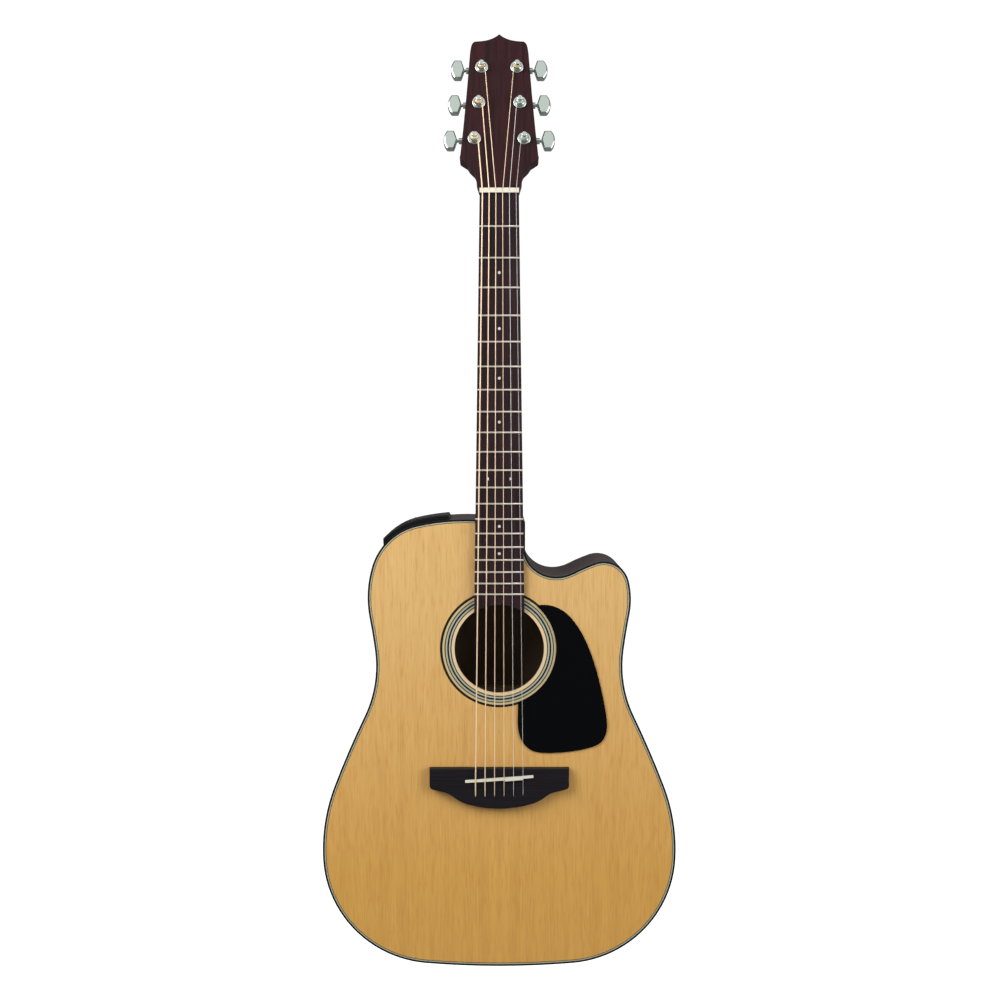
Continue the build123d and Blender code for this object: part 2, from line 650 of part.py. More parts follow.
# ---------------------------------------------------------------- tuners
def make_housings():
    """Closed gear cases behind the head, each with a sleeve and a screw tab."""
    back = -HEAD_THICK - VENEER_THICK
    cases = []
    for number, side, out, up in tuners():
        case = block(-8, 12.5, -8, 13.5, back - 13.5, back)
        upright = case.edges().filter_by(Axis.Z)
        case = fillet(upright, 4)
        case = fillet(case.faces().sort_by(Axis.Z)[0].edges(), 2.5)
        case += Pos(14.5, GEAR_OFFSET, back - GEAR_DROP) * Rot(0, 90, 0) * Cylinder(3.6, 7)
        tab = block(-3.5, 3.5, -13.5, -7, back - 2, back)
        case += fillet(tab.edges().filter_by(Axis.Z).group_by(Axis.Y)[0], 3)
        case -= block(-6.4, 8.2, -6.4, 11.9, back - 11.8, back - 1.4)
        case -= Pos(0, 0, back) * Cylinder(POST_RADIUS + RUNNING_GAP, 6)
        shaft_hole = Cylinder(SHAFT_RADIUS + RUNNING_GAP, 14)
        case -= Pos(12, GEAR_OFFSET, back - GEAR_DROP) * Rot(0, 90, 0) * shaft_hole
        case -= Pos(0, -10.6, back - 1) * Cylinder(1.3, 4)
        if side < 0:
            case = mirror(case, about=Plane.YZ)
        cases.append(on_head(case, side * out, up, 0))
    return Compound(children=cases)


def screw_places():
    for number, side, out, up in tuners():
        yield side * out, up - 10.6


def make_tuner_screws():
    back = -HEAD_THICK - VENEER_THICK
    screws = []
    for x, up in screw_places():
        screw = Pos(0, 0, back - 2.8) * Cylinder(2.5, 1.6) + Pos(0, 0, back + 2.7) * Cylinder(1.2, 9.4)
        screw -= Pos(0, 0, back - 3.4) * Box(3.4, 0.7, 1.0)
        screw -= Pos(0, 0, back - 3.4) * Box(0.7, 3.4, 1.0)
        screws.append(on_head(screw, x, up, 0))
    return Compound(children=screws)


def make_bushings():
    """Washer and threaded collar round each post."""
    sleeve_end = -HEAD_THICK
    collars = []
    for number, side, out, up in tuners():
        middle = (BUSHING_TOP + sleeve_end) / 2
        collar = Pos(0, 0, middle) * Cylinder(BUSHING_RADIUS, BUSHING_TOP - sleeve_end)
        collar = chamfer(collar.faces().sort_by(Axis.Z)[-1].edges(), 0.8)
        washer = Pos(0, 0, WASHER_THICK / 2) * Cylinder(WASHER_RADIUS, WASHER_THICK)
        washer = fillet(washer.faces().sort_by(Axis.Z)[-1].edges(), 0.5)
        collar = collar + washer - Cylinder(POST_RADIUS + RUNNING_GAP, 80)
        collars.append(on_head(collar, side * out, up, 0))
    return Compound(children=collars)


def make_post(number, side, out, up):
    """Winding post with its string hole, and the gear wheel on its foot."""
    gear_level = -HEAD_THICK - VENEER_THICK - GEAR_DROP
    foot = gear_level - 3.2
    post = Pos(0, 0, (POST_TOP + foot) / 2) * Cylinder(POST_RADIUS, POST_TOP - foot)
    post = fillet(post.faces().sort_by(Axis.Z)[-1].edges(), 0.6)
    post -= Pos(0, 0, 9.2) * Rot(0, 90, 0) * Cylinder(0.9, 10)
    wheel = Cylinder(WHEEL_RADIUS, 4)
    for tooth in range(GEAR_TEETH):
        wheel -= Rot(0, 0, 360 * tooth / GEAR_TEETH) * (Pos(WHEEL_RADIUS, 0, 0) * Cylinder(0.62, 5))
    wheel = Pos(0, 0, gear_level) * wheel - Pos(0, 0, gear_level) * Cylinder(POST_RADIUS, 6)
    return Compound(children=[on_head(post, side * out, up, 0), on_head(wheel, side * out, up, 0)])


def make_worm_shaft(number, side, out, up):
    level = -HEAD_THICK - VENEER_THICK - GEAR_DROP
    worm = Cylinder(WORM_RADIUS, 12)
    for groove in range(5):
        ring = Cylinder(WORM_RADIUS + 1, 0.9) - Cylinder(WORM_RADIUS - 0.7, 2)
        worm -= Pos(0, 0, -4.4 + 2.2 * groove) * ring
    shaft_end = BUTTON_START + BUTTON_LONG - 2.5
    shaft = Pos(0, 0, shaft_end / 2) * Cylinder(SHAFT_RADIUS, shaft_end)
    part = Rot(0, 90, 0) * (worm + shaft)
    if side < 0:
        part = mirror(part, about=Plane.YZ)
    return on_head(part, side * out, up + GEAR_OFFSET, level)


def make_button(number, side, out, up):
    """Chrome button: rounded outer edge, short flat ends, and a blunt point at the shaft."""
    level = -HEAD_THICK - VENEER_THICK - GEAR_DROP
    x0 = BUTTON_START
    x1 = BUTTON_START + BUTTON_LONG
    tall = BUTTON_TALL / 2
    near = x0 + BUTTON_FLAT[0]
    far = x0 + BUTTON_FLAT[1]
    inner = Polyline((far, tall), (near, tall), (x0, 0), (near, -tall), (far, -tall))
    outer = ThreePointArc((far, -tall), (x1, 0), (far, tall))
    plate = fillet(make_face(inner.edges() + [outer]).vertices(), 1.6)
    knob = extrude(plate, BUTTON_THICK / 2, both=True)
    rims = [e for e in knob.edges() if abs(abs(e.center().Z) - BUTTON_THICK / 2) < 0.01]
    knob = fillet(rims, 2.0)
    knob -= Pos(x0 + 6, 0, 0) * Rot(0, 90, 0) * Cylinder(SHAFT_RADIUS, 14)
    if side < 0:
        knob = mirror(knob, about=Plane.YZ)
    return on_head(knob, side * out, up + GEAR_OFFSET, level)


# ---------------------------------------------------------------- preamp
shoulder_arc = bass_arcs[-2]
neck_side_arc = bass_arcs[-1]


def rim_frame(arc, place):
    """Plane on the rim at the panel's middle: x along the rim towards the neck, z outwards."""
    point = arc @ place
    along = arc % place
    origin = (point.X, PANEL_MID_Y, point.Y + TAIL_Z)
    tangent = (along.X, 0, along.Y)
    outward = (-along.Y, 0, along.X)
    return Plane(origin=origin, x_dir=tangent, z_dir=outward)


def rim_box(frame, t0, t1, across, n0, n1):
    """Box in a rim frame: along the rim, across the rim's depth, outwards."""
    centre = Pos((t0 + t1) / 2, 0, (n0 + n1) / 2)
    return frame * (centre * Box(t1 - t0, across, n1 - n0))


HOUSING_FRAME = rim_frame(shoulder_arc, 0.70)
DOOR_FRAME = rim_frame(neck_side_arc, 0.36)
DOOR_HALF = 10.0
DOOR_TALL = 31.0
KNUCKLE_RADIUS = 1.25
DOOR_AXIS_OUT = PANEL_PROUD - 1.6


def preamp_window():
    return rim_box(HOUSING_FRAME, -CASE_HALF, CASE_HALF, CASE_ACROSS, -14, 14)


def battery_window():
    return rim_box(DOOR_FRAME, -BOX_HALF, BOX_HALF, BOX_ACROSS, -8, 8)


def panel_sector():
    """The stretch of rim under the panel, with both ends slanted."""
    centre = shoulder_arc.arc_center
    start = shoulder_arc @ 0.35
    along = shoulder_arc % 0.35
    away = (start.X - along.Y * 60 + along.X * 70, start.Y + along.X * 60 + along.Y * 70)
    corners = [(centre.X, centre.Y), (start.X, start.Y), away, (-83.0, 560), (-54.0, 509), (-54.0, 440)]
    return make_face(Polyline(*corners, close=True))


def make_panel_blank():
    shell = (offset(outline, PANEL_PROUD) - outline) & panel_sector()
    blank = slab(shell, PANEL_FRONT_Y, PANEL_BACK_Y)
    rims = [e for e in blank.edges() if e.length > 30 and outer_rim(e)]
    return fillet(rims, 1.8)


def outer_rim(edge):
    """True for the panel's long edges on its outer face."""
    point = edge @ 0.5
    centre = shoulder_arc.arc_center
    ends = point.Y < PANEL_FRONT_Y + 0.1 or point.Y > PANEL_BACK_Y - 0.1
    reach = ((point.X - centre.X) ** 2 + (point.Z - TAIL_Z - centre.Y) ** 2) ** 0.5
    flat_out = point.Z - TAIL_Z - (neck_side_arc @ 0.3).Y > 2
    return ends and (flat_out if point.X > -92 else reach > shoulder_arc.radius + 2)


def slider_pocket():
    """Trough that keeps the slider knobs below the panel's face."""
    centre = shoulder_arc.arc_center
    rays = []
    for place in (SLIDER_PLACES[0] - 0.065, SLIDER_PLACES[-1] + 0.045):
        ray = ((shoulder_arc @ place) - centre).normalized() * 150
        rays.append((centre.X + ray.X, centre.Y + ray.Y))
    wedge = make_face(Polyline((centre.X, centre.Y), *rays, close=True))
    shell = (offset(outline, PANEL_PROUD + 3) - offset(outline, POCKET_FLOOR)) & wedge
    return slab(shell, PANEL_MID_Y - POCKET_ACROSS / 2, PANEL_MID_Y + POCKET_ACROSS / 2)


def door_opening():
    half = DOOR_HALF + DOOR_GAP
    return rim_box(DOOR_FRAME, -half, half, DOOR_TALL + 2 * DOOR_GAP, -6, 9)


def door_knuckle(radius, length):
    place = Pos(DOOR_HALF - KNUCKLE_RADIUS, 0, DOOR_AXIS_OUT) * Rot(90, 0, 0)
    return DOOR_FRAME * (place * Cylinder(radius, length))


def make_panel():
    panel = make_panel_blank() - door_opening()
    panel -= door_knuckle(0.65, DOOR_TALL + 5) + slider_pocket()
    for place in SLIDER_PLACES:
        panel -= rim_box(rim_frame(shoulder_arc, place), -0.8, 0.8, 2 * SLIDER_TRAVEL + 4, -5, 9)
    check = rim_frame(shoulder_arc, CHECK_PLACE)
    panel -= check * Cylinder(2.7, 20)
    return panel


def make_battery_door():
    door = make_panel_blank() & rim_box(DOOR_FRAME, -DOOR_HALF, DOOR_HALF - KNUCKLE_RADIUS, DOOR_TALL, -6, 9)
    door += door_knuckle(KNUCKLE_RADIUS, DOOR_TALL)
    door += door_knuckle(0.6, DOOR_TALL + 4)
    notch = rim_box(DOOR_FRAME, -DOOR_HALF - 1, -DOOR_HALF + 1.6, 8, PANEL_PROUD - 2, 9)
    return door - notch


def make_housing():
    """Preamp case and battery box, let through the side behind the panel."""
    body = slab(outline, PANEL_MID_Y - CASE_ACROSS / 2, PANEL_MID_Y + CASE_ACROSS / 2)
    case = rim_box(HOUSING_FRAME, -CASE_HALF, CASE_HALF, CASE_ACROSS, -CASE_DEEP, 8) & body
    inner_half = CASE_HALF - CASE_WALL
    case -= rim_box(HOUSING_FRAME, -inner_half, inner_half, CASE_ACROSS - 2 * CASE_WALL, 2 - CASE_DEEP, 9)
    box = rim_box(DOOR_FRAME, -BOX_HALF, BOX_HALF, BOX_ACROSS, -BOX_DEEP, 4) & body
    inner_half = BOX_HALF - 1.8
    box -= rim_box(DOOR_FRAME, -inner_half, inner_half, BOX_ACROSS - 2 * CASE_WALL, 2 - BOX_DEEP, 5)
    case -= rim_box(DOOR_FRAME, -BOX_HALF, BOX_HALF, BOX_ACROSS, -BOX_DEEP, 8)
    case -= rim_box(HOUSING_FRAME, -11, 11, 4, -40, -20)
    return Compound(children=[case, box])


def make_slider(place):
    frame = rim_frame(shoulder_arc, place)
    knob = rim_box(frame, -2.0, 2.0, 5, POCKET_FLOOR + 0.4, PANEL_PROUD - 0.1)
    knob = fillet(knob.edges().filter_by(Axis.Y), 0.6)
    stem = rim_box(frame, -0.5, 0.5, 3, -2, POCKET_FLOOR + 1)
    carriage = rim_box(frame, -2.6, 2.6, 6, -3.2, -1.6)
    return knob + stem + carriage


def make_check_button():
    frame = rim_frame(shoulder_arc, CHECK_PLACE)
    cap = Pos(0, 0, 2.2) * Cylinder(2.4, 8.0)
    cap = fillet(cap.faces().sort_by(Axis.Z)[-1].edges(), 0.5)
    flange = Pos(0, 0, -1.6) * Cylinder(3.2, 1.2)
    return frame * (cap + flange)


def make_battery():
    body = rim_box(DOOR_FRAME, -BATTERY[0] / 2, BATTERY[0] / 2, BATTERY[1], -BATTERY[2] - 2.5, -2.5)
    return fillet(body.edges().filter_by(Axis((0, 0, 0), DOOR_FRAME.z_dir)), 1.5)


# ---------------------------------------------------------------- hardware and leads
def make_output_jack():
    """End-pin jack: strap flange outside, threaded barrel through the tail block."""
    profile = [(JACK_BORE, 0), (7.6, 0), (8.4, 0.9), (8.4, 2.2), (7.4, 3.4), (6.4, 5.0), (6.4, 8.0),
               (8.8, 10.4), (8.8, 12.0), (JACK_BARREL, 12.0), (JACK_BARREL, 38), (7.4, 38), (7.4, 41),
               (JACK_BARREL, 41), (JACK_BARREL, 52), (JACK_BORE, 52)]
    section = Plane.XZ * make_face(Polyline(*profile, close=True))
    return revolve(section, Axis.Z)


def strap_place():
    """Seat of the strap button on the treble cheek of the heel."""
    return Plane(origin=(15.0, 22.0, BODY_END_Z + 10), x_dir=(0, 0, 1), z_dir=(1, 0, 0))


def make_strap_button(neck):
    profile = [(0, 0), (5.5, 0), (3.6, 3.0), (3.8, 6.0), (7.0, 9.6), (7.0, 11.0), (5.0, 11.9), (0, 11.9)]
    section = Plane.XZ * make_face(Polyline(*profile, close=True))
    pin = revolve(section, Axis.Z) + Pos(0, 0, -8) * Cylinder(1.6, 16.0)
    pin -= Pos(0, 0, 12) * Box(5, 0.9, 2)
    pin -= Pos(0, 0, 12) * Box(0.9, 5, 2)
    return (strap_place() * pin) - neck


def lead(points, radius):
    radii = []
    for before, here, after in zip(points, points[1:], points[2:]):
        one = here - before
        two = after - here
        turn = radians(one.get_angle(two))
        radii.append(0.45 * min(one.length, two.length) / tan(turn / 2))
    path = FilletPolyline(*points, radius=radii)
    tube = sweep(Plane(origin=path @ 0, z_dir=path % 0) * Circle(radius), path=path)
    share = tube.volume / (pi * radius ** 2 * path.length)
    print("lead", round(path.length, 1), "bends", [round(r, 1) for r in radii])
    print("volume share", round(share, 4))
    return tube


def make_pickup():
    """Under-saddle strip, its lead to the preamp, and the lead from the preamp to the jack."""
    strip = saddle_block(-38.3, 38.3, 1.2, 3.25, 4.85)
    z = saddle_z_at(LEAD_X)
    case_foot = HOUSING_FRAME.from_local_coords(Vector(-8, 0, -30.8))
    jack_foot = HOUSING_FRAME.from_local_coords(Vector(8, 0, -30.8))
    pickup_lead = lead([Vector(LEAD_X, TOP_Y - 3.0, z), Vector(LEAD_X, -42, z + 0.5),
                        Vector(-40, -30, z + 18),
                        Vector(-60, -26, z + 56), Vector(-78, -22, z + 100), Vector(-90, -22, z + 150),
                        Vector(-96, -25, z + 190), case_foot], 1.1)
    jack_lead = lead([jack_foot, Vector(-66, -22, 420), Vector(-72, -10, 372), Vector(-84, 0, 318),
                      Vector(-92, 8, 260), Vector(-84, 14, 200), Vector(-62, 16, 146), Vector(-30, 10, 100),
                      Vector(-6, 3, 74), Vector(0, 0, 52.5)], 1.3)
    return Compound(children=[strip, pickup_lead, jack_lead])


# ---------------------------------------------------------------- write every node
neck_wood = make_neck()
nodes = {
    "top_plate": make_top_plate(),
    "back_plate": make_back_plate(),
    "side_bass": make_side(-1),
    "side_treble": make_side(1),
    "top_binding": make_top_binding(),
    "top_purfling": make_top_purfling(),
    "back_binding": make_back_binding(),
    "rosette": make_rosette(),
    "pickguard": make_pickguard(),
    "end_blocks": make_end_blocks(),
    "linings": make_linings(),
    "braces": make_braces(),
    "bridge": make_bridge(),
    "saddles": make_saddles(),
    "neck": neck_wood,
    "truss_rod": make_truss_rod(),
    "fingerboard": make_fingerboard(),
    "frets": make_frets(),
    "position_dots": make_dots(),
    "nut": make_nut(),
    "headstock_veneer": make_veneer(),
    "tuner_housings": make_housings(),
    "tuner_screws": make_tuner_screws(),
    "tuner_bushings": make_bushings(),
    "strap_button": make_strap_button(neck_wood),
    "output_jack": make_output_jack(),
    "preamp_housing": make_housing(),
    "preamp_panel": make_panel(),
    "volume_slider": make_slider(SLIDER_PLACES[3]),
    "check_button": make_check_button(),
    "battery_door": make_battery_door(),
    "battery": make_battery(),
    "pickup": make_pickup(),
}
for index in range(3):
    nodes[f"eq_slider_{index + 1}"] = make_slider(SLIDER_PLACES[index])
for tuner in tuners():
    number = tuner[0]
    nodes[f"string_{number}"] = make_string(*tuner)
    nodes[f"string_post_{number}"] = make_post(*tuner)
    nodes[f"worm_shaft_{number}"] = make_worm_shaft(*tuner)
    nodes[f"tuner_button_{number}"] = make_button(*tuner)

os.makedirs("parts", exist_ok=True)
for name, shape in nodes.items():
    export_step(shape, f"parts/{name}.step")

for tuner in tuners():
    number, side, out, up = tuner
    level = -HEAD_THICK - VENEER_THICK - GEAR_DROP
    print("post", number, HEAD_FRAME.from_local_coords(Vector(side * out, up, level)))
    print("button", number, HEAD_FRAME.from_local_coords(Vector(side * out, up + GEAR_OFFSET, level)))
print("door axis", DOOR_FRAME.from_local_coords(Vector(DOOR_HALF - KNUCKLE_RADIUS, 0, DOOR_AXIS_OUT)))
print("door along", DOOR_FRAME.x_dir, "out", DOOR_FRAME.z_dir)
check_frame = rim_frame(shoulder_arc, CHECK_PLACE)
print("check", check_frame.origin, check_frame.z_dir)
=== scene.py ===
import math

import bmesh
import bpy
from mathutils import Matrix, Vector


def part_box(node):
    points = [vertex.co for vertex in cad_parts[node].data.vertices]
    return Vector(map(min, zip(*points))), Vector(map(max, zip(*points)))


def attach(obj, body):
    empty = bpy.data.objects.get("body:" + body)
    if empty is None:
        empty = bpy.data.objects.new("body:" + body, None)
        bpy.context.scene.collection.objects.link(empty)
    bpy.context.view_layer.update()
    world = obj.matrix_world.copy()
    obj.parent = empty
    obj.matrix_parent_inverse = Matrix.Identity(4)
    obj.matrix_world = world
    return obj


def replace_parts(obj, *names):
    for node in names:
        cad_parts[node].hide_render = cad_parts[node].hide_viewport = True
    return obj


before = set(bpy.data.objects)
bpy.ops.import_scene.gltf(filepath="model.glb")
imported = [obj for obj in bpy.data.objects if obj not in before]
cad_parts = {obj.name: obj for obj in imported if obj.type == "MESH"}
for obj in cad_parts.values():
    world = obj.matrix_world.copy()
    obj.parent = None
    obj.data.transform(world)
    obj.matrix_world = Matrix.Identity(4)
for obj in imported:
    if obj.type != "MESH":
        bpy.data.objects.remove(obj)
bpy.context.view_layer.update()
MM = 0.001

# ------------------------------------------------------------------ soundboard
# Two book-matched halves of quarter-sawn spruce, 2.8 mm thick, joined on the centreline, with
# fine straight grain along the guitar.  Glued to the linings, then lacquered to a warm honey
# colour.  Towards the tail the colour darkens: this is painted shade, where the light falls off.
# A paler ring of wood edges the sound hole.
HOLE_Z = 377.9
# Painted shade towards the tail: the height in mm where it begins, the height where it is full, and the
# darker grain colours it reaches.
TAIL_SHADE_FROM = 420.0
TAIL_SHADE_FULL = 120.0
SPRUCE_LIGHT = (0.760, 0.490, 0.185)
SPRUCE_DARK = (0.600, 0.355, 0.118)
SPRUCE_LIGHT_SHADED = (0.715, 0.400, 0.092)
SPRUCE_DARK_SHADED = (0.555, 0.280, 0.055)
SPRUCE_FLECK = (0.540, 0.200, 0.045)
HOLE_RING = (0.740, 0.560, 0.330)
HOLE_RING_EDGE = 53.6
GRAIN_SHARE = 0.7
FLECK_SHARE = 0.4


class Wire:
    """A socket inside a finish.  Sums of wires and numbers add Math nodes."""

    def __init__(self, finish, socket):
        self.finish = finish
        self.socket = socket

    def sum(self, operation, first, second):
        return self.finish.node("ShaderNodeMath", {"operation": operation}, {0: first, 1: second})

    def __add__(self, other):
        return self.sum("ADD", self, other)

    def __sub__(self, other):
        return self.sum("SUBTRACT", self, other)

    def __rsub__(self, other):
        return self.sum("SUBTRACT", other, self)

    def __mul__(self, other):
        return self.sum("MULTIPLY", self, other)

    def __rmul__(self, other):
        return self.sum("MULTIPLY", other, self)

    def __pow__(self, other):
        return self.sum("POWER", self, other)

    def __abs__(self):
        return self.finish.node("ShaderNodeMath", {"operation": "ABSOLUTE"}, {0: self})


def ring_radius(x, z):
    """Distance from the sound hole's centre."""
    height = z - HOLE_Z
    return (x * x + height * height) ** 0.5


class Finish:
    """A surface finish: one Principled shader and the nodes that feed it."""

    def __init__(self, name, colour, roughness=0.4, metallic=0.0, coat=0.0, coat_roughness=0.05):
        self.material = bpy.data.materials.new(name)
        self.material.use_nodes = True
        self.tree = self.material.node_tree
        self.shader = self.tree.nodes["Principled BSDF"]
        self.set("Base Color", (*colour, 1.0))
        self.set("Roughness", roughness)
        self.set("Metallic", metallic)
        self.set("Coat Weight", coat)
        self.set("Coat Roughness", coat_roughness)

    def set(self, socket, value):
        self.shader.inputs[socket].default_value = value

    def node(self, kind, settings, sockets, output=0):
        made = self.tree.nodes.new(kind)
        for key, value in settings.items():
            if key == "stops":
                for place, colour in value[2:]:
                    made.color_ramp.elements.new(place)
                for stop, (place, colour) in zip(made.color_ramp.elements, value):
                    stop.position = place
                    stop.color = (*colour, 1.0)
            elif key == "interpolation":
                made.color_ramp.interpolation = value
            else:
                setattr(made, key, value)
        for key, value in sockets.items():
            if isinstance(value, Wire):
                self.tree.links.new(value.socket, made.inputs[key])
            else:
                made.inputs[key].default_value = value
        return Wire(self, made.outputs[output])

    def feed(self, socket, wire):
        self.tree.links.new(wire.socket, self.shader.inputs[socket])

    def place(self):
        """The three coordinates of the point, in millimetres."""
        coordinates = self.node("ShaderNodeTexCoord", {}, {}, "Object")
        split = self.node("ShaderNodeSeparateXYZ", {}, {0: coordinates})
        outputs = split.socket.node.outputs
        return [Wire(self, outputs[axis]) * 1000.0 for axis in range(3)]

    def noise(self, x, y, z, detail=2.0, low=0.3, high=0.7):
        """Noise in stretched coordinates, spread to run from 0 to 1."""
        vector = self.node("ShaderNodeCombineXYZ", {}, {0: x, 1: y, 2: z})
        fog = self.node("ShaderNodeTexNoise", {}, {"Vector": vector, "Scale": 1.0, "Detail": detail})
        return self.spread(fog, low, high)

    def spread(self, wire, low, high):
        """Spread low to high over 0 to 1, and stop at both ends."""
        return self.node("ShaderNodeMapRange", {"clamp": True}, {0: wire, 1: low, 2: high, 3: 0.0, 4: 1.0})

    def below(self, wire, limit):
        """1 where the wire is under the limit, 0 elsewhere."""
        return self.node("ShaderNodeMath", {"operation": "LESS_THAN"}, {0: wire, 1: limit})

    def mix(self, share, one, other):
        """Colour one where share is 0, the other where it is 1."""
        sockets = {0: share}
        for key, colour in ((6, one), (7, other)):
            sockets[key] = colour if isinstance(colour, Wire) else (*colour, 1.0)
        return self.node("ShaderNodeMix", {"data_type": "RGBA"}, sockets, 2)


def dress(finish, *names):
    """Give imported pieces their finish."""
    for name in names:
        for material_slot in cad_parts[name].material_slots:
            material_slot.material = finish.material


spruce = Finish("spruce_lacquered", SPRUCE_LIGHT, roughness=0.45, coat=0.3, coat_roughness=0.2)
x, y, z = spruce.place()
across = abs(x)
fine_grain = spruce.noise(across * 1.3, y * 0.3, z * 0.02, detail=4.0)
broad_bands = spruce.noise(across * 0.09 + 7.0, y * 0.02, z * 0.0022)
flecks = spruce.noise(across * 0.5 + 31.0, y * 0.4, z * 0.05, detail=5.0, low=0.5, high=0.72)
shade = fine_grain * GRAIN_SHARE + broad_bands * (1.0 - GRAIN_SHARE)
# Painted shade: the top's colour darkens towards the tail, standing in for the light falling off there.
tail_shade = spruce.spread(z, TAIL_SHADE_FROM, TAIL_SHADE_FULL)
light = spruce.mix(tail_shade, SPRUCE_LIGHT, SPRUCE_LIGHT_SHADED)
dark = spruce.mix(tail_shade, SPRUCE_DARK, SPRUCE_DARK_SHADED)
wood = spruce.mix(flecks * FLECK_SHARE, spruce.mix(shade, light, dark), SPRUCE_FLECK)
spruce.feed("Base Color", spruce.mix(spruce.below(ring_radius(x, z), HOLE_RING_EDGE), wood, HOLE_RING))
dress(spruce, "top_plate")

# ------------------------------------------------------------------ back and sides
# Thin mahogany: a shallow domed back of two halves, and two sides bent on a hot iron, butted at
# the neck and the tail.  Stained dark brown and lacquered, with a low sheen on the sides and
# neck and more on the back, whose inner face is left bare.
MAHOGANY_LIGHT = (0.046, 0.017, 0.017)
MAHOGANY_DARK = (0.020, 0.008, 0.008)
MAHOGANY_BARE = (0.200, 0.135, 0.095)
BACK_COAT = 0.4
BACK_ROUGHNESS = 0.5
BARE_ROUGHNESS = 0.85


def mahogany_finish(name):
    """The stained and lacquered wood, with its streaks and pores."""
    wood = Finish(name, MAHOGANY_LIGHT, roughness=0.5, coat=0.12, coat_roughness=0.08)
    wood.set("Specular IOR Level", 0.1)
    x, y, z = wood.place()
    streaks = wood.noise(abs(x) * 0.35, y * 0.35, z * 0.012, detail=4.0)
    pores = wood.noise(abs(x) * 2.2 + 5.0, y * 2.2, z * 0.08, low=0.5, high=0.75)
    return wood, wood.mix(pores * 0.5, wood.mix(streaks, MAHOGANY_LIGHT, MAHOGANY_DARK), MAHOGANY_DARK)


mahogany, stained = mahogany_finish("mahogany_gloss")
mahogany.feed("Base Color", stained)
dress(mahogany, "side_bass", "side_treble", "neck")

back_wood, stained = mahogany_finish("mahogany_back")
facing = back_wood.node("ShaderNodeTexCoord", {}, {}, "Normal")
facing_out = back_wood.node("ShaderNodeSeparateXYZ", {}, {0: facing}, 1)
bare = back_wood.below(facing_out, 0.0)
back_wood.feed("Base Color", back_wood.mix(bare, stained, MAHOGANY_BARE))
back_wood.feed("Coat Weight", (1.0 - bare) * BACK_COAT)
back_wood.feed("Roughness", bare * (BARE_ROUGHNESS - BACK_ROUGHNESS) + BACK_ROUGHNESS)
dress(back_wood, "back_plate")

# ------------------------------------------------------------------ binding and purfling
# Black plastic strips glued into a rebate round the top and the back.  Inside the top's binding
# runs a pale line and then a thin dark one, let 1.5 mm into the top.
BINDING_BLACK = (0.006, 0.007, 0.006)
PALE_LINE = (0.420, 0.430, 0.310)
DARK_LINE = (0.018, 0.014, 0.010)
PURFLING_DEEP = 1.5 * MM

binding = Finish("binding_black", BINDING_BLACK, roughness=0.3, coat=0.2)
binding.set("Specular IOR Level", 0.3)
dress(binding, "top_binding", "back_binding")


def finished(name, mesh, finish, body="root"):
    """Stand a finished mesh in the scene on the body that carries it."""
    data = bpy.data.meshes.new(name)
    mesh.to_mesh(data)
    mesh.free()
    piece = bpy.data.objects.new(name, data)
    bpy.context.scene.collection.objects.link(piece)
    data.materials.append(finish.material)
    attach(piece, body)
    return piece


def front_islands(node):
    """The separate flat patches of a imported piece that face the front, widest first."""
    whole = bmesh.new()
    whole.from_mesh(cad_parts[node].data)
    waiting = {face for face in whole.faces if face.normal.y < -0.99}
    islands = []
    while waiting:
        frontier = [waiting.pop()]
        island = set(frontier)
        while frontier:
            face = frontier.pop()
            touching = {other for corner in face.verts for other in corner.link_faces if other in waiting}
            waiting -= touching
            island |= touching
            frontier.extend(touching)
        islands.append(island)
    islands.sort(key=lambda island: -max(v.co.x for face in island for v in face.verts))
    return whole, islands


def strip(node, place, deep):
    """One inlaid line: a front patch of the node, welded and given its depth."""
    whole, islands = front_islands(node)
    others = [face for face in whole.faces if face not in islands[place]]
    bmesh.ops.delete(whole, geom=others, context="FACES")
    bmesh.ops.remove_doubles(whole, verts=whole.verts, dist=1e-6)
    grown = bmesh.ops.extrude_face_region(whole, geom=list(whole.faces))
    moved = [item for item in grown["geom"] if isinstance(item, bmesh.types.BMVert)]
    bmesh.ops.translate(whole, verts=moved, vec=(0.0, deep, 0.0))
    bmesh.ops.recalc_face_normals(whole, faces=whole.faces)
    return whole


LINES = (("purfling_pale", PALE_LINE, "purfling_white"), ("purfling_dark", DARK_LINE, "binding_black"))
for place, (name, colour, slot) in enumerate(LINES):
    plastic = Finish(name, colour, roughness=0.35, coat=0.35, coat_roughness=0.12)
    mesh = strip("top_purfling", place, PURFLING_DEEP)
    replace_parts(finished(name + "_line", mesh, plastic), "top_purfling")

# ------------------------------------------------------------------ rosette
# Seven rings of dyed veneer and plastic line let into the top round the sound hole: a thin dark
# line, a pale grey band, black, pale green, a thin brown line, tan, and a black border.
ROSETTE_RINGS = (
    (53.6, (0.050, 0.033, 0.012)),
    (54.8, (0.440, 0.430, 0.340)),
    (56.4, (0.004, 0.008, 0.004)),
    (58.4, (0.400, 0.410, 0.300)),
    (60.2, (0.060, 0.050, 0.018)),
    (61.5, (0.570, 0.450, 0.250)),
    (63.8, (0.008, 0.006, 0.003)),
)
ROSETTE_EDGE = 66.6

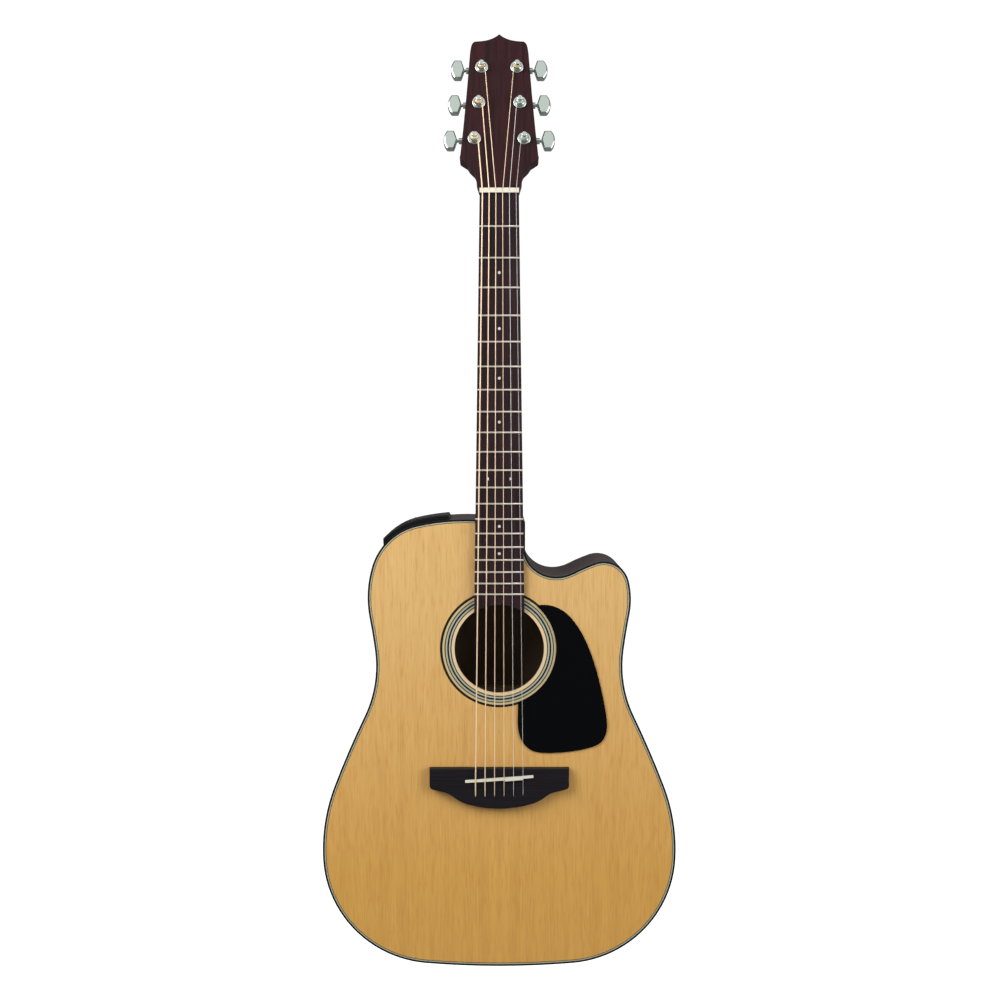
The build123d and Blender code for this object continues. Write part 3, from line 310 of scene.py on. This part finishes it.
rosette = Finish("rosette_rings", (0.4, 0.4, 0.3), roughness=0.45, coat=0.2, coat_roughness=0.15)
rosette.set("Specular IOR Level", 0.3)
x, y, z = rosette.place()
first = ROSETTE_RINGS[0][0]
width = ROSETTE_EDGE - first
stops = [((inner - first) / width, colour) for inner, colour in ROSETTE_RINGS]
share = (ring_radius(x, z) - first) * (1.0 / width)
rings = rosette.node("ShaderNodeValToRGB", {"interpolation": "CONSTANT", "stops": stops}, {0: share})
rosette.feed("Base Color", rings)
dress(rosette, "rosette")

# ------------------------------------------------------------------ blocks, linings and braces
# Unfinished spruce and basswood inside the body: end blocks for the neck and the jack, kerfed
# linings that carry the plates, the X-brace and bars of the top, and the ladder bars of the back.
RAW_LIGHT = (0.520, 0.370, 0.210)
RAW_DARK = (0.380, 0.250, 0.130)

raw_wood = Finish("raw_wood", RAW_LIGHT, roughness=0.75)
x, y, z = raw_wood.place()
grain = raw_wood.noise(x * 0.1, y * 0.9, z * 0.6, detail=3.0)
raw_wood.feed("Base Color", raw_wood.mix(grain, RAW_LIGHT, RAW_DARK))
dress(raw_wood, "end_blocks", "linings", "braces")

# ------------------------------------------------------------------ pickguard
# A tear-shaped plate of glossy black plastic, 1.4 mm thick, stuck to the top beside the sound
# hole on the treble side.
guard = Finish("pickguard_black", (0.0012, 0.0014, 0.0020), roughness=0.18)
guard.set("Specular IOR Level", 0.15)
dress(guard, "pickguard")

# ------------------------------------------------------------------ bridge and saddles
# A rosewood bridge glued to the top, nearly black, its grain across the guitar.  The strings
# pass up through it from behind.  Two slanted bone saddles stand in its slot.
BRIDGE_LIGHT = (0.015, 0.012, 0.015)
BRIDGE_DARK = (0.005, 0.005, 0.007)
BONE = (0.740, 0.710, 0.590)

bridge_wood = Finish("rosewood_bridge", BRIDGE_LIGHT, roughness=0.5)
bridge_wood.set("Specular IOR Level", 0.15)
x, y, z = bridge_wood.place()
grain = bridge_wood.noise(x * 0.02, y * 0.8, z * 0.9, detail=4.0)
bridge_wood.feed("Base Color", bridge_wood.mix(grain, BRIDGE_LIGHT, BRIDGE_DARK))
dress(bridge_wood, "bridge")

bone = Finish("bone_polished", BONE, roughness=0.3)
bone.set("Subsurface Weight", 0.15)
bone.set("Subsurface Radius", (0.002, 0.0015, 0.001))
bone.set("Subsurface Scale", 0.5)
dress(bone, "saddles", "nut")

# ------------------------------------------------------------------ head veneer
# A rosewood veneer on the face of the head, grain along it, under a thin coat of low sheen.
HEAD_LIGHT = (0.040, 0.010, 0.012)
HEAD_DARK = (0.009, 0.006, 0.007)

head_wood = Finish("rosewood_head", HEAD_LIGHT, roughness=0.5, coat=0.06, coat_roughness=0.1)
head_wood.set("Specular IOR Level", 0.1)
x, y, z = head_wood.place()
grain = head_wood.noise(x * 0.30 + 3.0, y * 0.06, z * 0.009, detail=3.0)
hairs = head_wood.noise(x * 1.6, y * 0.4, z * 0.03, low=0.45, high=0.75)
head_wood.feed("Base Color", head_wood.mix(grain * 0.75 + hairs * 0.25, HEAD_LIGHT, HEAD_DARK))
dress(head_wood, "headstock_veneer")

# ------------------------------------------------------------------ fingerboard, dots and frets
# A rosewood board, 6 mm thick, crowned to 400 mm, oiled rather than lacquered.  Twenty frets of
# nickel-silver wire are pressed into sawn slots, and pearl dots are let in between them.
PEARL_WARM = (0.760, 0.720, 0.660)
PEARL_GREEN = (0.550, 0.660, 0.620)
BOARD_LIGHT = (0.040, 0.016, 0.018)
BOARD_DARK = (0.010, 0.007, 0.010)

board_wood = Finish("rosewood_board", BOARD_LIGHT, roughness=0.55)
board_wood.set("Specular IOR Level", 0.15)
x, y, z = board_wood.place()
grain = board_wood.noise(x * 0.42, y * 0.5, z * 0.010, detail=4.0)
pores = board_wood.noise(x * 2.5 + 9.0, y * 2.0, z * 0.09, low=0.52, high=0.75)
pored = board_wood.mix(pores * 0.6, BOARD_LIGHT, BOARD_DARK)
board_wood.feed("Base Color", board_wood.mix(grain, pored, BOARD_DARK))
dress(board_wood, "fingerboard")

nickel = Finish("nickel_silver", (0.84, 0.78, 0.68), roughness=0.4, metallic=0.7)
dress(nickel, "frets")

pearl = Finish("pearl", PEARL_WARM, roughness=0.2, coat=0.5)
x, y, z = pearl.place()
pearl.feed("Base Color", pearl.mix(pearl.noise(x * 1.5, y, z * 1.5), PEARL_WARM, PEARL_GREEN))
dress(pearl, "position_dots")

# ------------------------------------------------------------------ truss rod
# A two-way steel rod in a channel under the fingerboard, adjusted from the sound hole.
steel = Finish("steel_satin", (0.52, 0.52, 0.53), roughness=0.3, metallic=1.0)
dress(steel, "truss_rod")

# ------------------------------------------------------------------ tuners
# Six closed geared tuners, die-cast and chromed.  Each has a case screwed behind the head, a
# post through a threaded collar and washer, and a button on the end of its worm shaft.
chrome = Finish("chrome", (0.68, 0.77, 0.71), roughness=0.16, metallic=1.0)
TUNERS = {1: (1, 27.4, 59.0), 2: (1, 22.8, 102.0), 3: (1, 19.7, 144.5),
          4: (-1, 19.7, 144.5), 5: (-1, 22.8, 102.0), 6: (-1, 27.4, 59.0)}

dress(chrome, "tuner_housings", "tuner_screws", "tuner_bushings")
for number in TUNERS:
    dress(chrome, f"string_post_{number}", f"tuner_button_{number}")
    dress(steel, f"worm_shaft_{number}")

# ------------------------------------------------------------------ strings
# Two plain steel strings and four wound with bronze.  Each comes up through the bridge, bends
# over saddle and nut, winds round its post in close turns and ends through the post's hole.
STRING_DIAMETER = (0.30, 0.41, 0.61, 0.81, 1.07, 1.35)
TOP_Y = -60.5
CROWN_RADIUS = 400.0

# Bridge and saddle, (y, z) pairs and lengths in millimetres.
BRIDGE_HOLE = (-63.7, 202.3)
BRIDGE_RISE = (-69.0, 213.8)
SADDLE_SPREAD = 53.4
SADDLE_TOP = 11.4
SADDLE_LENGTH = 647.5
SADDLE_SLANT = 4.0
SADDLE_STEP = {2: 2.7, 3: 2.7}
SADDLE_STEP_REST = 1.5
SADDLE_CLEARANCE = 0.08

# Nut and head.
NUT_Z = 881.3
NUT_SPREAD = 36.6
NUT_SLOT_TOP = 7.55
HEAD_FOOT = Vector((0.0, -62.5, 886.3))
HEAD_TILT = math.radians(14.0)

# Turns round the posts, and the end that goes through each post's hole.
PLAIN_TURNS = 5
WOUND_TURNS = 3
STEPS_PER_TURN = 28
WRAP_START = 4.3
WRAP_PITCH = 1.04
POST_RADIUS = 3.0
POST_CLEARANCE = 0.15
POST_HOLE_LEVEL = 9.2
TAIL_OUT = 2.2
TAIL_RADIUS = 0.8

steel_string = Finish("string_steel", (0.92, 0.89, 0.86), roughness=0.5, metallic=0.2)
bronze_string = Finish("string_bronze", (0.97, 0.74, 0.50), roughness=0.5, metallic=0.2)


def on_head(x, up, out):
    """A point given across, up along and out of the head's face."""
    lift = Vector((0.0, math.sin(HEAD_TILT), math.cos(HEAD_TILT))) * up
    proud = Vector((0.0, -math.cos(HEAD_TILT), math.sin(HEAD_TILT))) * out
    return HEAD_FOOT + Vector((x, 0.0, 0.0)) + lift + proud


def wire_piece(name, points, radius, finish, body):
    """Round wire along a line of points in millimetres."""
    data = bpy.data.curves.new(name, "CURVE")
    data.dimensions = "3D"
    data.bevel_depth = radius * MM
    data.bevel_resolution = 3
    data.use_fill_caps = True
    line = data.splines.new("POLY")
    line.points.add(len(points) - 1)
    for dot, point in zip(line.points, points):
        dot.co = (*(point * MM), 1.0)
    piece = bpy.data.objects.new(name, data)
    bpy.context.scene.collection.objects.link(piece)
    data.materials.append(finish.material)
    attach(piece, body)
    return piece


for number, (side, out, up) in TUNERS.items():
    diameter = STRING_DIAMETER[number - 1]
    radius = diameter / 2
    plain = number < 3
    finish = steel_string if plain else bronze_string
    slot = "string_steel" if plain else "string_bronze"
    share = (number - 1) / 5
    x_saddle = SADDLE_SPREAD * (0.5 - share)
    x_nut = NUT_SPREAD * (0.5 - share)
    saddle_z = NUT_Z - SADDLE_LENGTH - SADDLE_SLANT * share - SADDLE_STEP.get(number, SADDLE_STEP_REST)
    saddle_level = SADDLE_TOP - x_saddle ** 2 / (2 * CROWN_RADIUS) + radius + SADDLE_CLEARANCE
    nut_level = NUT_SLOT_TOP - x_nut ** 2 / (2 * CROWN_RADIUS) + radius
    route = [
        Vector((x_saddle, *BRIDGE_HOLE)),
        Vector((x_saddle, *BRIDGE_RISE)),
        Vector((x_saddle, TOP_Y - saddle_level, saddle_z)),
        Vector((x_nut, TOP_Y - nut_level, NUT_Z + 1.0)),
    ]
    turns = PLAIN_TURNS if plain else WOUND_TURNS
    reach = POST_RADIUS + POST_CLEARANCE + radius
    rise_from = 2 * math.pi * (turns - 0.75)
    last = 2 * math.pi * turns
    for step in range(turns * STEPS_PER_TURN + 1):
        angle = last * step / (turns * STEPS_PER_TURN)
        level = WRAP_START + radius + angle / (2 * math.pi) * diameter * WRAP_PITCH
        climb = max(0.0, (angle - rise_from) / (last - rise_from))
        level += (POST_HOLE_LEVEL - level) * climb * climb * (3 - 2 * climb)
        route.append(on_head(side * (out - reach * math.cos(angle)), up + reach * math.sin(angle), level))
    string = wire_piece(f"strung_{number}", route, radius, finish, "root")
    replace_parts(string, f"string_{number}")
    stations = (-POST_RADIUS + 0.1, 0.0, POST_RADIUS + TAIL_OUT)
    tail = [on_head(side * (out + along), up, POST_HOLE_LEVEL) for along in stations]
    wire_piece(f"string_tail_{number}", tail, min(radius, TAIL_RADIUS), finish, f"post_{number}")

# ------------------------------------------------------------------ preamp
# A black plastic panel let into the bass side at the shoulder: three tone sliders, a volume
# slider, a battery test button with a lamp, and a hinged door over the nine-volt battery.
panel_plastic = Finish("preamp_black", (0.008, 0.008, 0.009), roughness=0.4)
panel_plastic.set("Specular IOR Level", 0.12)
knob_plastic = Finish("slider_black", (0.020, 0.020, 0.021), roughness=0.45)
case_plastic = Finish("case_black", (0.018, 0.018, 0.018), roughness=0.6)
battery_wrap = Finish("battery_wrap", (0.16, 0.17, 0.19), roughness=0.4)
mark_white = Finish("mark_white", (0.72, 0.72, 0.70), roughness=0.5)
lamp_red = Finish("lamp_red", (0.35, 0.012, 0.010), roughness=0.15, coat=0.5)
dress(panel_plastic, "preamp_panel", "battery_door")
dress(knob_plastic, "volume_slider", "check_button", "eq_slider_1", "eq_slider_2", "eq_slider_3")
dress(case_plastic, "preamp_housing")
dress(battery_wrap, "battery")

SLIDERS = ("eq_slider_1", "eq_slider_2", "eq_slider_3", "volume_slider")
SLIDER_TRAVEL = 8.0
MARK = (1.0, 0.35, 0.10)
MARK_ALONG = 2.5
LAMP_UP = 9.0
LAMP_RADIUS = 1.1


def middle(node):
    """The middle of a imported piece's box."""
    low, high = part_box(node)
    return (low + high) / 2


def panel_spot(guess, outward):
    """Where a line dropped on the panel from outside lands."""
    start = guess + outward * 0.02
    found, spot, normal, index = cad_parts["preamp_panel"].ray_cast(start, -outward)
    return spot


centres = [middle(node) for node in SLIDERS]
marks = bmesh.new()
for place, centre in enumerate(centres):
    before = centres[max(place - 1, 0)]
    after = centres[min(place + 1, len(centres) - 1)]
    along = (after - before).normalized()
    outward = Vector((-along.z, 0.0, along.x))
    for level in (-SLIDER_TRAVEL, 0.0, SLIDER_TRAVEL):
        guess = centre + along * MARK_ALONG * MM + Vector((0.0, level * MM, 0.0))
        spot = panel_spot(guess, outward)
        turn = Matrix((along, Vector((0.0, 1.0, 0.0)), outward)).transposed().to_4x4()
        size = Matrix.Diagonal((*(side * MM for side in MARK), 1.0))
        bmesh.ops.create_cube(marks, size=1.0, matrix=Matrix.Translation(spot) @ turn @ size)
finished("preamp_marks", marks, mark_white)

lamp = bmesh.new()
lamp_along = (middle("check_button") - centres[-1]).normalized()
lamp_out = Vector((-lamp_along.z, 0.0, lamp_along.x))
lamp_spot = panel_spot(middle("check_button") + Vector((0.0, LAMP_UP * MM, 0.0)), lamp_out)
lamp_seat = Matrix.Translation(lamp_spot)
bmesh.ops.create_uvsphere(lamp, u_segments=20, v_segments=12, radius=LAMP_RADIUS * MM, matrix=lamp_seat)
for face in lamp.faces:
    face.smooth = True
finished("battery_lamp", lamp, lamp_red)

# ------------------------------------------------------------------ pickup, leads, jack and strap button
# A strip pickup lies under the saddle, its thin black lead runs to the preamp, and a second lead
# runs down to the chromed end-pin jack.  The strap button is screwed to the heel.
lead_rubber = Finish("lead_black", (0.015, 0.015, 0.015), roughness=0.6)
dress(lead_rubber, "pickup")
dress(chrome, "output_jack", "strap_button")

# ------------------------------------------------------------------ floor, light and camera
# The guitar is held upright above a plain floor, in front of a white backdrop, under four soft
# lamps.  The floor is left out of reflections and bounced light, so it doesn't light the guitar.
FLOOR_DROP = 0.35
FLOOR_SIZE = 30.0
WHITE = (1.0, 1.0, 1.0, 1.0)
ROOM_LIGHT = 0.2
BACKDROP_LIGHT = 1.05

bpy.ops.mesh.primitive_plane_add(size=FLOOR_SIZE, location=(0.0, 0.0, -FLOOR_DROP))
floor = bpy.context.object
floor.name = "floor"
floor_paint = Finish("floor_white", (0.6, 0.6, 0.6), roughness=0.9)
floor_paint.set("Emission Color", WHITE)
floor_paint.set("Emission Strength", 1.0)
floor.data.materials.append(floor_paint.material)
floor.visible_glossy = False
floor.visible_diffuse = False

world = bpy.data.worlds.new("studio")
bpy.context.scene.world = world
world.use_nodes = True
nodes = world.node_tree.nodes
paths = nodes.new("ShaderNodeLightPath")
both = nodes.new("ShaderNodeMixShader")
world.node_tree.links.new(paths.outputs["Is Camera Ray"], both.inputs[0])
for place, (backdrop, strength) in enumerate(
    ((nodes["Background"], ROOM_LIGHT), (nodes.new("ShaderNodeBackground"), BACKDROP_LIGHT))
):
    backdrop.inputs["Color"].default_value = WHITE
    backdrop.inputs["Strength"].default_value = strength
    world.node_tree.links.new(backdrop.outputs[0], both.inputs[place + 1])
world.node_tree.links.new(both.outputs[0], nodes["World Output"].inputs["Surface"])


def softbox(name, place, aim, width, height, power):
    """A rectangular light that faces its aim; metres and watts."""
    lamp_data = bpy.data.lights.new(name, "AREA")
    lamp_data.shape = "RECTANGLE"
    lamp_data.size = width
    lamp_data.size_y = height
    lamp_data.energy = power
    box = bpy.data.objects.new(name, lamp_data)
    box.location = place
    box.rotation_euler = (Vector(aim) - Vector(place)).to_track_quat("-Z", "Y").to_euler()
    bpy.context.scene.collection.objects.link(box)


softbox("key", (-1.15, -0.95, 1.4), (0.0, 0.0, 0.45), 1.0, 1.3, 33.0)
softbox("fill", (1.9, -1.3, 1.1), (0.0, 0.0, 0.4), 1.4, 1.8, 40.0)
softbox("head", (0.0, -1.8, 2.65), (0.0, 0.0, 1.0), 3.0, 1.4, 7.5)
softbox("rim", (0.3, 1.6, 2.2), (0.0, 0.0, 0.6), 1.6, 1.0, 8.0)

camera_data = bpy.data.cameras.new("camera")
camera_data.lens = 44.68
camera_data.shift_y = 0.014
camera_data.clip_start = 0.05
camera = bpy.data.objects.new("camera", camera_data)
camera.location = (-0.0004, -1.4409, 0.6212)
camera.rotation_euler = (math.radians(86.2), 0.0, math.radians(-0.05))
bpy.context.scene.collection.objects.link(camera)
bpy.context.scene.camera = camera
bpy.context.scene.view_settings.view_transform = "Standard"
